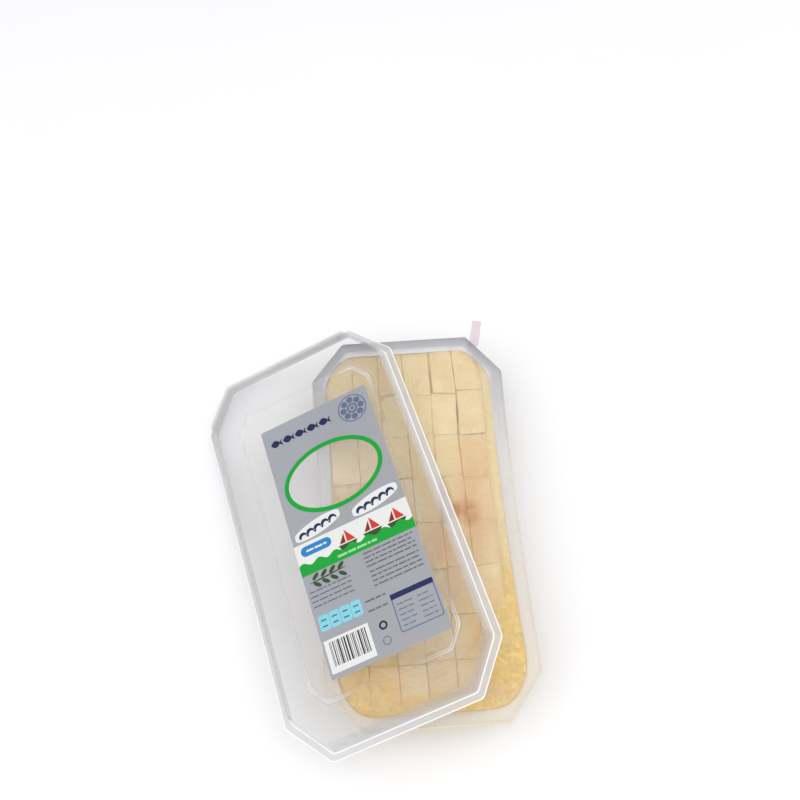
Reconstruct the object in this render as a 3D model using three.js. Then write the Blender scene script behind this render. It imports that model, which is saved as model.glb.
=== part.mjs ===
// A clear deli pack of smoked cod cubes in oil: an eight-sided tray full of fish, sealed with a clear
// film, and its clear lid, with a printed label, lying askew over the left side of the tray.
// Millimetres. +X is across the pack, +Y along it to the far end, +Z up. The tray stands on z = 0 and
// the origin is the middle of its base.
import * as THREE from 'three';

// ---------- driving sizes ----------
const TOUCH_GAP = 0.3;            // left open between pieces that lie on each other

// tray
const RIM = { halfX: 68, halfY: 136, cutX: 23, cutY: 30, bow: 2.2 };   // outer edge of the flange
const RIM_HEIGHT = 38;
const FLANGE_WIDTH = 9;
const FLANGE_LIP = 2.4;           // turned-down edge of the flange
const TRAY_WALL = 1.0;
const WALL_DRAFT = 5.5;           // the cavity is this much smaller at the floor, on each side
const CAVITY_CORNER = { cutX: 23, cutY: 31 };
const BRIM = { width: 1, drop: 1.2 };   // the soft edge where the flange turns down into the wall
const FLOOR_FILLET = 3.5;
const FILLET_BEND = 0.3;          // how far along each leg the fillet's middle point lies

// sealing film and its peel tab
const FILM_THICKNESS = 0.3;
const FILM_INSET = 0.8;           // from the flange edge
const TAB = { width: 6.5, length: 17, rise: 6.5, thickness: 0.4, x: 50, y: 127, turn: -12 };

// cod cubes
const COLUMNS = 6;
const ROWS = 8;
const WALL_CLEARANCE = 0.9;
const RIGHT_CHANNEL = 5.5;        // oil between the last column and the wall
const CUBE_GAP = 0.9;             // narrow gaps of oil between neighbours
const CUBE_TOP = 35.4;            // mean height of the upper faces
const CUBE_FOOT = 0.6;            // clear of the tray's floor
const CUBE_EDGE = 1.5;            // soft rounding of the upper edges
const CUBE_EDGE_DROP = 1.95;      // how far down their rounding reaches
const CUBE_CROWN = 4.8;           // from the side to where the upper face has its full flake relief
const CUBE_CORNER = 2.6;
const COLUMN_WANDER = 0.9;        // how far a column line strays sideways
const ROW_DRIFT = 4.2;            // how far the middle rows lie toward the near end
const ROW_WANDER = 1.3;           // how far a cut strays along its column
const ROW_SLANT = 0.8;
const TOP_WANDER = 0.6;           // how far an upper face lies above or below the mean
const TOP_TILT = { x: 0.06, y: 0.0375 };
const FLAKE_RELIEF = 0.7;
// wider gaps, each on the left of one cube
const WIDE_GAPS = [
  { column: 4, row: 0, width: 1.4 },
  { column: 5, row: 1, width: 0.9 },
  { column: 4, row: 3, width: 4.2 },
  { column: 5, row: 6, width: 0.8 },
];

// lid
const LID_RIM = { halfX: 74, halfY: 141, cutX: 24, cutY: 30 };         // outer edge of its flange
const LID_FLANGE = 5;
const LID_DEPTH = 14;             // from the flange's underside to the panel's underside
const LID_WALL = 0.8;
const LID_DRAFT = 2.5;
const LID_SHOULDER = 0.8;         // bevel between its skirt and its panel
const RIDGE = { halfX: 51.5, halfY: 107, cutX: 10, cutY: 13, centre: [4, -5] };
const RIDGE_WIDTH = 2.6;
const RIDGE_HEIGHT = 1.8;
const RIDGE_SLOPE = 0.7;
const RIDGE_SKIN = 0.32;          // how much wider the ridge is outside than inside
// how it rests, askew: one corner of its flange is on the floor at the far left, and its flange lies
// across the tray's rim at the near and the far end, which lifts its right side
const LID_TILT = 19.1;            // degrees
const LID_TURN = 14.57;           // degrees, within its own plane
const LID_CENTRE = { right: 12.8, along: -1.1 };                       // from the tray's left rim
const LID_LIFT = 3.9;             // from the tray's left rim up to the panel's underside

// label on the lid's panel
const LABEL = { halfX: 41, halfY: 91.5, corner: 1.5, thickness: 0.25, centre: [9.2, -8] };

const SIDE_STEPS = 6;             // stretches along each long side, so that it can bow
const END_STEPS = 2;
const CORNER_STEPS = 4;
const CUT_SHARE = 2 - Math.SQRT2; // keeps a margin even across a 45-degree corner cut
const SEED = 20261;

// ---------- materials ----------
const standard = (color, roughness, extra = {}) =>
  new THREE.MeshStandardMaterial({ color, roughness, metalness: 0, ...extra });
const clearPlastic = standard(0xe6e7ee, 0.12, { transparent: true, opacity: 0.35 });
const clearFilm = standard(0xf2f2f6, 0.08, { transparent: true, opacity: 0.2 });
const printedLabel = standard(0xc9cbd0, 0.4);
const smokedCod = standard(0xecd6a4, 0.45);

// ---------- helpers ----------
// a small repeatable random source
function randomSource(seed) {
  let state = seed;
  return () => {
    state = (state * 1664525 + 1013904223) % 4294967296;
    return state / 4294967296;
  };
}

const lerp = THREE.MathUtils.lerp;

// An eight-sided outline, counter-clockwise seen from above. Corner power 1 gives straight cuts and 2
// gives elliptical arcs. A bow draws the long sides in between their corners.
function outline({ halfX, halfY, cutX, cutY, power = 1, bow = 0, centre = [0, 0] }, z) {
  const points = [];
  const push = (x, y) => points.push([centre[0] + x, centre[1] + y, z]);
  const straightX = halfX - cutX;
  const straightY = halfY - cutY;
  const side = (sign) => {
    for (let i = 1; i < SIDE_STEPS; i++) {
      const along = lerp(-1, 1, i / SIDE_STEPS);
      push(sign * (halfX - bow * (1 - along * along)), sign * straightY * along);
    }
  };
  const end = (sign) => {
    for (let i = 1; i < END_STEPS; i++) push(-sign * straightX * lerp(-1, 1, i / END_STEPS), sign * halfY);
  };
  const corner = (signX, signY, fromSide) => {
    for (let i = 0; i <= CORNER_STEPS; i++) {
      const turn = (fromSide ? i : CORNER_STEPS - i) / CORNER_STEPS * Math.PI / 2;
      const acrossX = Math.cos(turn) ** (2 / power);
      const acrossY = Math.sin(turn) ** (2 / power);
      push(signX * (straightX + cutX * acrossX), signY * (straightY + cutY * acrossY));
    }
  };
  side(1);
  corner(1, 1, true);
  end(1);
  corner(-1, 1, false);
  side(-1);
  corner(-1, -1, true);
  end(-1);
  corner(1, -1, false);
  return points;
}

// the same outline, larger (or smaller) by a margin all round
function grow(shape, margin) {
  return {
    ...shape,
    halfX: shape.halfX + margin,
    halfY: shape.halfY + margin,
    cutX: shape.cutX + margin * CUT_SHARE,
    cutY: shape.cutY + margin * CUT_SHARE,
  };
}

// A closed body through a row of rings with equal counts: it starts with a cap that faces down, walks
// outward over the rings and ends with a cap that faces up.
function loft(rings) {
  const count = rings[0].length;
  const positions = rings.flat(2);
  const index = [];
  for (let r = 0; r + 1 < rings.length; r++) {
    for (let i = 0; i < count; i++) {
      const a = r * count + i;
      const b = r * count + (i + 1) % count;
      index.push(a, b, b + count, a, b + count, a + count);
    }
  }
  const cap = (ring, first, up) => {
    const middle = positions.length / 3;
    for (let axis = 0; axis < 3; axis++) {
      positions.push(ring.reduce((sum, point) => sum + point[axis], 0) / count);
    }
    for (let i = 0; i < count; i++) {
      const a = first + i;
      const b = first + (i + 1) % count;
      index.push(middle, up ? a : b, up ? b : a);
    }
  };
  cap(rings[0], 0, false);
  cap(rings[rings.length - 1], (rings.length - 1) * count, true);
  const geometry = new THREE.BufferGeometry();
  geometry.setAttribute('position', new THREE.Float32BufferAttribute(positions, 3));
  geometry.setIndex(index);
  geometry.computeVertexNormals();
  return geometry;
}

function named(name, geometry, material) {
  const mesh = new THREE.Mesh(geometry, material);
  mesh.name = name;
  return mesh;
}

// ---------- tray ----------
// inner face of the tray wall at a height
function cavity(z) {
  const inset = WALL_DRAFT * (1 - z / RIM_HEIGHT);
  return {
    halfX: RIM.halfX - FLANGE_WIDTH - inset,
    halfY: RIM.halfY - FLANGE_WIDTH - inset,
    cutX: CAVITY_CORNER.cutX,
    cutY: CAVITY_CORNER.cutY,
    power: 2,
    bow: RIM.bow,
  };
}

function makeTray() {
  const underFlange = RIM_HEIGHT - TRAY_WALL;
  const lipFoot = RIM_HEIGHT - FLANGE_LIP;
  const wallTop = RIM_HEIGHT - BRIM.drop;
  const bend = FLOOR_FILLET * FILLET_BEND;
  const outer = (z) => outline(grow(cavity(z), TRAY_WALL), z);
  const rings = [
    outline(grow(cavity(0), TRAY_WALL - FLOOR_FILLET), 0),
    outline(grow(cavity(0), TRAY_WALL - bend), bend),
    outer(FLOOR_FILLET),
    outer(underFlange),
    outline(grow(RIM, -TRAY_WALL), underFlange),
    outline(grow(RIM, -TRAY_WALL), lipFoot),
    outline(RIM, lipFoot),
    outline(RIM, RIM_HEIGHT),
    outline(grow(cavity(RIM_HEIGHT), BRIM.width), RIM_HEIGHT),
    outline(cavity(wallTop), wallTop),
    outline(cavity(TRAY_WALL + FLOOR_FILLET), TRAY_WALL + FLOOR_FILLET),
    outline(grow(cavity(TRAY_WALL), -bend), TRAY_WALL + bend),
    outline(grow(cavity(TRAY_WALL), -FLOOR_FILLET), TRAY_WALL),
  ];
  return named('tray', loft(rings), clearPlastic);
}

// ---------- sealing film ----------
function makeFilm() {
  const edge = grow(RIM, -FILM_INSET);
  const bottom = RIM_HEIGHT + TOUCH_GAP;
  const rings = [outline(edge, bottom), outline(edge, bottom + FILM_THICKNESS)];
  return named('sealing_film', loft(rings), clearFilm);
}

// a strip of the film that curls up past the edge at the far right corner
function makePeelTab() {
  const steps = 6;
  const middle = (t) => [t * TAB.length, TAB.rise * t ** 2.2];
  const profile = [];
  for (let i = 0; i <= steps; i++) profile.push(middle(i / steps));
  for (let i = steps; i >= 0; i--) {
    const [y, z] = middle(i / steps);
    profile.push([y, z + TAB.thickness]);
  }
  const shape = new THREE.Shape(profile.map(([y, z]) => new THREE.Vector2(y, z)));
  const geometry = new THREE.ExtrudeGeometry(shape, { depth: TAB.width, bevelEnabled: false });
  geometry.rotateX(Math.PI / 2);
  geometry.rotateZ(Math.PI / 2);
  geometry.translate(-TAB.width / 2, 0, 0);
  const tab = named('peel_tab', geometry, clearFilm);
  tab.position.set(TAB.x, TAB.y, RIM_HEIGHT + 2 * TOUCH_GAP + FILM_THICKNESS);
  tab.rotation.z = THREE.MathUtils.degToRad(TAB.turn);
  return tab;
}

// ---------- cod cubes ----------
// Points are laid out on the cavity's plain rectangle at the height of the upper faces. This moves one
// to its real place: drawn in with the drafted wall, and round with the cavity's corners.
function intoCavity(x, y, z) {
  const top = grow(cavity(CUBE_TOP), -WALL_CLEARANCE);
  const here = grow(cavity(z), -WALL_CLEARANCE);
  const bow = top.bow * Math.max(0, 1 - (y / (top.halfY - top.cutY)) ** 2);
  let px = x / top.halfX * (here.halfX - bow);
  let py = y / top.halfY * here.halfY;
  const s = (Math.abs(px) - (here.halfX - here.cutX)) / here.cutX;
  const t = (Math.abs(py) - (here.halfY - here.cutY)) / here.cutY;
  if (s > 0 && t > 0) {
    px = Math.sign(px) * (here.halfX - here.cutX + here.cutX * s * Math.sqrt(1 - t * t / 2));
    py = Math.sign(py) * (here.halfY - here.cutY + here.cutY * t * Math.sqrt(1 - s * s / 2));
  }
  return [px, py, z];
}

// where the cuts between the cubes run: a slightly wandering line for each column edge, and in each
// column its own cuts across
function cutPattern(random) {
  const floorPlan = grow(cavity(CUBE_TOP), -WALL_CLEARANCE);
  const wander = (amount) => (random() * 2 - 1) * amount;
  const right = floorPlan.halfX - RIGHT_CHANNEL;
  const edges = [];
  for (let c = 0; c <= COLUMNS; c++) {
    const x = lerp(-floorPlan.halfX, right, c / COLUMNS);
    const free = c === 0 ? 0 : COLUMN_WANDER;
    edges.push(Array.from({ length: ROWS + 1 }, () => x + wander(free)));
  }
  const cuts = [];
  for (let c = 0; c < COLUMNS; c++) {
    cuts.push(Array.from({ length: ROWS + 1 }, (_, r) => {
      const free = r === 0 || r === ROWS ? 0 : 1;
      const drift = ROW_DRIFT * Math.sin(r / ROWS * Math.PI);
      const even = lerp(floorPlan.halfY, -floorPlan.halfY, r / ROWS) - drift;
      const y = even + wander(free * ROW_WANDER);
      const slant = wander(free * ROW_SLANT);
      return { left: y + slant, right: y - slant };
    }));
  }
  return { edges, cuts };
}

// one cube: a soft block between its cuts, whose upper face rises and falls along the flakes
function makeCube(column, row, pattern, random) {
  const { edges, cuts } = pattern;
  const wide = WIDE_GAPS.find((g) => g.column === column && g.row === row)?.width ?? 0;
  const gap = CUBE_GAP / 2;
  const outerLeft = column === 0 ? 0 : gap;
  const farGap = row === 0 ? 0 : gap;
  const nearGap = row === ROWS - 1 ? 0 : gap;
  const corners = [
    [edges[column + 1][row + 1] - gap, cuts[column][row + 1].right + nearGap],
    [edges[column + 1][row] - gap, cuts[column][row].right - farGap],
    [edges[column][row] + outerLeft + wide, cuts[column][row].left - farGap],
    [edges[column][row + 1] + outerLeft + wide, cuts[column][row + 1].left + nearGap],
  ];
  const middle = [0, 1].map((axis) => corners.reduce((sum, point) => sum + point[axis], 0) / 4);
  // twelve points round the block: two at each corner and one along each side
  const plan = [];
  corners.forEach((here, i) => {
    const before = corners[(i + 3) % 4];
    const after = corners[(i + 1) % 4];
    const toward = (target, distance) => {
      const length = Math.hypot(target[0] - here[0], target[1] - here[1]);
      return [0, 1].map((axis) => lerp(here[axis], target[axis], distance / length));
    };
    plan.push(toward(before, CUBE_CORNER), toward(after, CUBE_CORNER));
    plan.push([0, 1].map((axis) => (here[axis] + after[axis]) / 2));
  });
  const lift = (random() * 2 - 1) * TOP_WANDER;
  const tiltX = (random() * 2 - 1) * TOP_TILT.x;
  const tiltY = (random() * 2 - 1) * TOP_TILT.y;
  const flakes = plan.map(() => (random() * 2 - 1) * FLAKE_RELIEF);
  const foot = TRAY_WALL + CUBE_FOOT;
  const topAt = (x, y) => CUBE_TOP + lift + (x - middle[0]) * tiltX + (y - middle[1]) * tiltY;
  // the block's outline at a height, drawn in by an inset from its real place in the cavity
  const ring = (inset, height) => {
    const placed = plan.map(([x, y], i) => intoCavity(x, y, height(x, y, i)));
    const drawn = (point, axis) => {
      const values = placed.map((other) => other[axis]);
      const centre = values.reduce((sum, value) => sum + value, 0) / values.length;
      const reach = Math.max(...values.map((value) => Math.abs(value - centre)));
      return lerp(centre, point[axis], 1 - inset / reach);
    };
    return placed.map((point) => [drawn(point, 0), drawn(point, 1), point[2]]);
  };
  const rings = [
    ring(FLOOR_FILLET, () => foot),
    ring(0, () => foot + FLOOR_FILLET),
    ring(0, (x, y) => topAt(x, y) - CUBE_EDGE_DROP),
    ring(CUBE_EDGE, (x, y, i) => topAt(x, y) + flakes[i] * CUBE_EDGE / CUBE_CROWN),
    ring(CUBE_CROWN, (x, y, i) => topAt(x, y) + flakes[i]),
  ];
  return named(`cod_cube_c${column + 1}_r${row + 1}`, loft(rings), smokedCod);
}

function makeCubes() {
  const random = randomSource(SEED);
  const pattern = cutPattern(random);
  const cubes = new THREE.Group();
  for (let column = 0; column < COLUMNS; column++) {
    for (let row = 0; row < ROWS; row++) cubes.add(makeCube(column, row, pattern, random));
  }
  return cubes;
}

// ---------- lid ----------
function makeLid() {
  const top = LID_DEPTH + LID_WALL;
  const foot = grow(LID_RIM, -LID_FLANGE);
  const shoulder = grow(foot, -LID_DRAFT);
  const ridgeInner = grow(RIDGE, -RIDGE_WIDTH);
  const rings = [
    outline(ridgeInner, LID_DEPTH),
    outline(grow(ridgeInner, RIDGE_SLOPE), LID_DEPTH + RIDGE_HEIGHT),
    outline(grow(RIDGE, -RIDGE_SLOPE), LID_DEPTH + RIDGE_HEIGHT),
    outline(RIDGE, LID_DEPTH),
    outline(grow(shoulder, -LID_WALL - LID_SHOULDER), LID_DEPTH),
    outline(grow(foot, -LID_WALL), LID_WALL),
    outline(grow(foot, -LID_WALL), 0),
    outline(LID_RIM, 0),
    outline(LID_RIM, LID_WALL),
    outline(foot, LID_WALL),
    outline(shoulder, LID_DEPTH),
    outline(grow(shoulder, -LID_SHOULDER), top),
    outline(grow(RIDGE, RIDGE_SKIN), top),
    outline(grow(RIDGE, RIDGE_SKIN - RIDGE_SLOPE), top + RIDGE_HEIGHT),
    outline(grow(ridgeInner, RIDGE_SLOPE - RIDGE_SKIN), top + RIDGE_HEIGHT),
    outline(grow(ridgeInner, -RIDGE_SKIN), top),
  ];
  return named('lid', loft(rings), clearPlastic);
}

function makeLabel() {
  const shape = {
    halfX: LABEL.halfX,
    halfY: LABEL.halfY,
    cutX: LABEL.corner,
    cutY: LABEL.corner,
    power: 2,
    centre: LABEL.centre,
  };
  const bottom = LID_DEPTH + LID_WALL + TOUCH_GAP;
  const rings = [outline(shape, bottom), outline(shape, bottom + LABEL.thickness)];
  return named('lid_label', loft(rings), printedLabel);
}

// the lid and its label, leaning on the tray
function makeLeaningLid() {
  const lid = new THREE.Group();
  lid.add(makeLid(), makeLabel());
  lid.position.set(LID_CENTRE.right, LID_CENTRE.along, -LID_DEPTH);
  lid.rotation.z = THREE.MathUtils.degToRad(LID_TURN);
  const leaning = new THREE.Group();
  leaning.add(lid);
  leaning.position.set(-RIM.halfX, 0, RIM_HEIGHT + LID_LIFT);
  leaning.rotation.y = -THREE.MathUtils.degToRad(LID_TILT);
  return leaning;
}

const pack = new THREE.Group();
pack.add(makeTray(), makeCubes(), makeFilm(), makePeelTab(), makeLeaningLid());

export default pack;
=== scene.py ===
# The looks of a clear deli pack of smoked cod cubes in oil: an eight-sided tray sealed with a clear
# film, and its clear lid with a printed label, which lies askew over the tray's left side.
# Sizes are in millimetres, as in the CAD part, and become metres when a mesh is made.
import math
import random
from typing import NamedTuple

import bmesh
import bpy
import numpy as np
from mathutils import Matrix, Vector, noise


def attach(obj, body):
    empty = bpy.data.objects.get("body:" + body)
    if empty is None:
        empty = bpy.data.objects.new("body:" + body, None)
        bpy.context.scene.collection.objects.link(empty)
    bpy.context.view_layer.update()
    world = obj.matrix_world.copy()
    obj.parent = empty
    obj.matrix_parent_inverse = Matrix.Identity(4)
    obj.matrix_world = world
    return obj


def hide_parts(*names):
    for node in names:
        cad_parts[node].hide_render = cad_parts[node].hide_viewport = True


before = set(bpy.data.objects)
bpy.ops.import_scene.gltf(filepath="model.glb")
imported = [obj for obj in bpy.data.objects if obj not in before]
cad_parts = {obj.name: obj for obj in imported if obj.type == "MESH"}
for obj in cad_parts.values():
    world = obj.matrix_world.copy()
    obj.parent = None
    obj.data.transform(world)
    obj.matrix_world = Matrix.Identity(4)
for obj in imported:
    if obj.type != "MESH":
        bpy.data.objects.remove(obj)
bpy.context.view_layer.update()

MM = 0.001

# ---------- the pack's sizes, as in the CAD part ----------
RIM_HALF = (68.0, 136.0)
RIM_HEIGHT = 38.0
FLANGE_WIDTH = 9.0
FLANGE_LIP = 2.4
TRAY_WALL = 1.0
WALL_DRAFT = 5.5
FLOOR_FILLET = 3.5
FLOOR_RING = 9.5                  # the flat floor starts this far in from the wall
FILM_THICKNESS = 0.3
TOUCH_GAP = 0.3
COLUMNS, ROWS = 6, 8
LID_FLANGE = 5.0
LID_DEPTH = 14.0
LID_WALL = 0.8
LID_DRAFT = 2.5
RIDGE_WIDTH = 2.6
RIDGE_HEIGHT = 1.8
RIDGE_SLOPE = 0.7
RIDGE_SKIN = 0.32
LID_TILT = math.radians(19.1)     # its left edge lies lower
LID_TURN = math.radians(14.57)    # within its own plane
LID_CENTRE = (12.8, -1.1)         # from the tray's left rim
LID_LIFT = 3.9                    # from the tray's left rim up to the panel's underside
LABEL_HALF = (41.0, 91.5)
LABEL_CENTRE = (9.2, -8.0)
LABEL_TOP = 15.35

# where the lid lies: its own frame, from the underside of its flange, in the pack's frame
LID_PLACE = (
    Matrix.Translation((-RIM_HALF[0], 0, RIM_HEIGHT + LID_LIFT))
    @ Matrix.Rotation(-LID_TILT, 4, "Y")
    @ Matrix.Translation((*LID_CENTRE, -LID_DEPTH))
    @ Matrix.Rotation(LID_TURN, 4, "Z")
)

# ---------- camera, light and floor ----------
LENS = 45.0
CAMERA_TARGET = Vector((-0.0048, 0.1073, 0))
CAMERA_DISTANCE = 0.7461
CAMERA_ELEVATION = math.radians(62.4)
CAMERA_AZIMUTH = math.radians(-4.18)


def add_camera():
    """Looks down at the pack from its near end."""
    back = Matrix.Rotation(CAMERA_AZIMUTH, 3, "Z") @ Vector(
        (0, -math.cos(CAMERA_ELEVATION), math.sin(CAMERA_ELEVATION))
    )
    data = bpy.data.cameras.new("camera")
    data.lens = LENS
    data.clip_start = 0.01
    camera = bpy.data.objects.new("camera", data)
    camera.location = CAMERA_TARGET + back * CAMERA_DISTANCE
    camera.rotation_euler = back.to_track_quat("Z", "Y").to_euler()
    bpy.context.collection.objects.link(camera)
    bpy.context.scene.camera = camera


def add_softbox(name, place, size, power):
    """A square area light that faces the middle of the pack."""
    data = bpy.data.lights.new(name, "AREA")
    data.size = size
    data.energy = power
    lamp = bpy.data.objects.new(name, data)
    lamp.location = place
    lamp.rotation_euler = Vector(place).to_track_quat("Z", "Y").to_euler()
    bpy.context.collection.objects.link(lamp)


def add_world(colour, strength):
    """An even, pale surround."""
    world = bpy.data.worlds.new("studio")
    world.use_nodes = True
    background = world.node_tree.nodes["Background"]
    background.inputs["Color"].default_value = (*colour, 1)
    background.inputs["Strength"].default_value = strength
    bpy.context.scene.world = world


# ---------- materials ----------
def linear(red, green, blue):
    """A colour given as on screen, 0 to 255, as Blender's linear values."""
    def channel(value):
        value /= 255
        return value / 12.92 if value <= 0.04045 else ((value + 0.055) / 1.055) ** 2.4
    return (channel(red), channel(green), channel(blue), 1)


class Material:
    """A material with one Principled shader, and short calls that add nodes in front of it."""

    def __init__(self, name, **values):
        self.data = bpy.data.materials.new(name)
        self.data.use_nodes = True
        self.tree = self.data.node_tree
        self.shader = self.tree.nodes["Principled BSDF"]
        for socket, value in values.items():
            self.shader.inputs[socket.replace("_", " ")].default_value = value

    def node(self, kind, inputs, output=0, **settings):
        made = self.tree.nodes.new("ShaderNode" + kind)
        for setting, value in settings.items():
            setattr(made, setting, value)
        for socket, value in inputs.items():
            self.feed(made.inputs[socket], value)
        return made.outputs[output]

    def feed(self, socket, value):
        if isinstance(value, bpy.types.NodeSocket):
            self.tree.links.new(value, socket)
        else:
            socket.default_value = value

    def drive(self, socket, value):
        self.feed(self.shader.inputs[socket], value)

    def place(self):
        return self.node("TexCoord", {}, output="Object")

    def attribute(self, name, output="Fac"):
        return self.node("Attribute", {}, output=output, attribute_name=name)

    def noise(self, where, scale, detail=3.0, distortion=0.0):
        return self.node(
            "TexNoise",
            {"Vector": where, "Scale": scale, "Detail": detail, "Distortion": distortion},
        )

    def math(self, operation, a, b=0.0, clamp=False):
        return self.node("Math", {0: a, 1: b}, operation=operation, use_clamp=clamp)

    def spread(self, value, low, high, to_low=0.0, to_high=1.0):
        """Stretches a value's range from low..high to to_low..to_high, and stops there."""
        inputs = {"Value": value, 1: low, 2: high, 3: to_low, 4: to_high}
        return self.node("MapRange", inputs, interpolation_type="SMOOTHSTEP")

    def mix(self, share, a, b):
        made = self.tree.nodes.new("ShaderNodeMix")
        made.data_type = "RGBA"
        self.feed(made.inputs["Factor"], share)
        self.feed(made.inputs[6], a)
        self.feed(made.inputs[7], b)
        return made.outputs[2]

    def bump(self, height, depth, strength=1.0):
        normal = self.node("Bump", {"Height": height, "Distance": depth * MM, "Strength": strength})
        self.drive("Normal", normal)


def clear_plastic(name, colour, painted_tone, face, side, edge, roughness):
    """Thin clear plastic: it covers little where it is seen face on, more where its side is seen, and
    most along an edge, a rim or a fold that gathers light, marked by the mesh's light attribute.
    There, and where its side is seen, its colour turns to a painted tone: a painted highlight, or
    painted shade on the film. Another attribute adds painted warm light from the fish."""
    m = Material(name, Roughness=roughness, IOR=1.5, Specular_IOR_Level=0.55)
    facing = m.node("LayerWeight", {"Blend": 0.35}, output="Facing")
    body = m.spread(facing, 0.05, 1.0, face, side)
    haze = m.noise(m.place(), 18.0, 2.0)
    body = m.math("MULTIPLY", body, m.spread(haze, 0.3, 0.7, 0.8, 1.2))
    rim = m.math("MULTIPLY", m.attribute("light"), edge)
    m.drive("Alpha", m.math("ADD", body, rim, clamp=True))
    # painted highlight: along lit edges and where the side is seen, the colour turns to the painted
    # tone
    lit = m.math("ADD", m.attribute("light"), m.spread(facing, 0.3, 0.9), clamp=True)
    shade = m.mix(lit, linear(*colour), linear(*painted_tone))
    # painted warm light from the fish tints the plastic
    m.drive("Base Color", m.mix(m.attribute("warmth"), shade, linear(244, 222, 172)))
    m.bump(m.noise(m.place(), 60.0, 2.0), 0.08)
    return m.data


def cod_material():
    """Smoked cod: cream flesh with flakes, browner in the tan patches, golden where oil soaks it and
    red-brown in streaks where the smoke stained it."""
    m = Material(
        "cod",
        Roughness=0.36,
        IOR=1.4,
        Subsurface_Weight=0.2,
        Subsurface_Scale=0.004,
        Coat_Weight=0.25,
        Coat_Roughness=0.12,
    )
    m.shader.inputs["Subsurface Radius"].default_value = (1.0, 0.7, 0.4)
    grain = m.attribute("grain", output="Vector")
    flakes = m.node(
        "TexWave",
        {"Vector": grain, "Scale": 95.0, "Distortion": 5.0, "Detail": 3.0, "Detail Scale": 1.2},
        output="Fac",
        wave_profile="SIN",
    )
    cloud = m.noise(grain, 42.0, 4.0, 0.6)
    patch = m.noise(m.place(), 17.0, 2.0)
    fine = m.noise(grain, 420.0, 3.0)
    colour = m.mix(m.spread(cloud, 0.32, 0.68), linear(232, 216, 174), linear(224, 200, 148))
    colour = m.mix(m.math("MULTIPLY", m.attribute("tone"), 0.7), colour, linear(218, 172, 120))
    colour = m.mix(m.spread(patch, 0.45, 0.7, 0.0, 0.5), colour, linear(238, 222, 166))
    colour = m.mix(m.math("MULTIPLY", flakes, 0.13), colour, linear(215, 172, 112))
    colour = m.mix(m.math("MULTIPLY", m.attribute("gold"), 0.8), colour, linear(238, 192, 94))
    streaks = m.spread(m.noise(grain, 75.0, 4.0, 1.0), 0.36, 0.6, 0.5, 1.0)
    stain = m.math("MULTIPLY", m.attribute("stain"), streaks)
    colour = m.mix(stain, colour, linear(196, 134, 66))
    m.drive("Base Color", colour)
    m.drive("Roughness", m.spread(fine, 0.3, 0.7, 0.28, 0.46))
    relief = m.math("ADD", m.math("MULTIPLY", flakes, 0.6), m.math("MULTIPLY", fine, 0.4))
    m.bump(relief, 0.35, 0.6)
    return m.data


def oil_material():
    """Golden oil, creamy where it stands open; in the narrow gaps between the blocks a darker tan is
    painted shade.
    """
    m = Material("oil", Roughness=0.08, IOR=1.47, Specular_IOR_Level=0.6)
    cloud = m.spread(m.noise(m.place(), 110.0, 4.0, 0.8), 0.35, 0.65)
    cream = m.mix(cloud, linear(246, 226, 176), linear(240, 214, 152))
    gold = m.mix(cloud, linear(250, 218, 118), linear(234, 186, 86))
    # painted shade: a darker tan in the narrow gaps, where the open attribute is low
    colour = m.mix(m.attribute("open"), linear(224, 192, 138), cream)
    colour = m.mix(m.attribute("gold"), colour, gold)
    m.drive("Base Color", m.mix(m.attribute("stain"), colour, linear(190, 122, 62)))
    m.drive("Alpha", m.attribute("depth"))
    m.bump(m.noise(m.place(), 260.0, 3.0), 0.25)
    return m.data


def skin_material():
    """The thin oil that creeps over the fish under the film, in clouds."""
    m = Material("oil_skin", Roughness=0.12, IOR=1.47, Specular_IOR_Level=0.3)
    cloud = m.noise(m.place(), 48.0, 5.0, 0.3)
    fleck = m.noise(m.place(), 320.0, 3.0)
    both = m.math("ADD", m.math("MULTIPLY", cloud, 0.5), m.math("MULTIPLY", fleck, 0.5))
    mottle = m.spread(both, 0.4, 0.6)
    cream = m.mix(mottle, linear(244, 225, 178), linear(238, 216, 164))
    gold = m.mix(mottle, linear(255, 230, 136), linear(236, 192, 92))
    m.drive("Base Color", m.mix(m.attribute("gold"), cream, gold))
    ragged = m.math("MULTIPLY", m.attribute("cover"), m.spread(cloud, 0.3, 0.65, 0.6, 1.15))
    m.drive("Alpha", m.math("ADD", ragged, m.spread(cloud, 0.5, 0.75, 0.0, 0.22), clamp=True))
    m.bump(fleck, 0.15, 0.6)
    return m.data


def froth_material():
    """Pale bubbles of oil, each partly clear."""
    m = Material("froth", Roughness=0.2, IOR=1.4, Subsurface_Weight=0.3, Subsurface_Scale=0.001)
    cloud = m.noise(m.place(), 300.0, 2.0)
    m.drive("Base Color", m.mix(cloud, linear(255, 242, 196), linear(248, 222, 146)))
    m.drive("Alpha", m.spread(cloud, 0.3, 0.7, 0.3, 0.8))
    return m.data


def ink(name, colour, cover=1.0):
    """Printed colour with the faint mottling of ink on film."""
    m = Material(name, Roughness=0.38, Specular_IOR_Level=0.25)
    mottle = m.noise(m.place(), 700.0, 2.0)
    wide = m.noise(m.place(), 30.0, 2.0)
    darker = [channel * 0.82 for channel in linear(*colour)[:3]] + [1]
    shade = m.math("ADD", m.math("MULTIPLY", mottle, 0.35), m.math("MULTIPLY", wide, 0.25))
    m.drive("Base Color", m.mix(shade, linear(*colour), darker))
    if cover < 1:
        m.drive("Alpha", m.spread(wide, 0.3, 0.7, cover - 0.04, cover + 0.04))
    m.bump(mottle, 0.02)
    return m.data


def floor_material():
    """Plain matt white paper."""
    m = Material("floor", Roughness=0.9)
    grain = m.noise(m.place(), 4.0, 3.0)
    m.drive("Base Color", m.mix(grain, linear(243, 243, 244), linear(247, 247, 248)))
    return m.data


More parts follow.
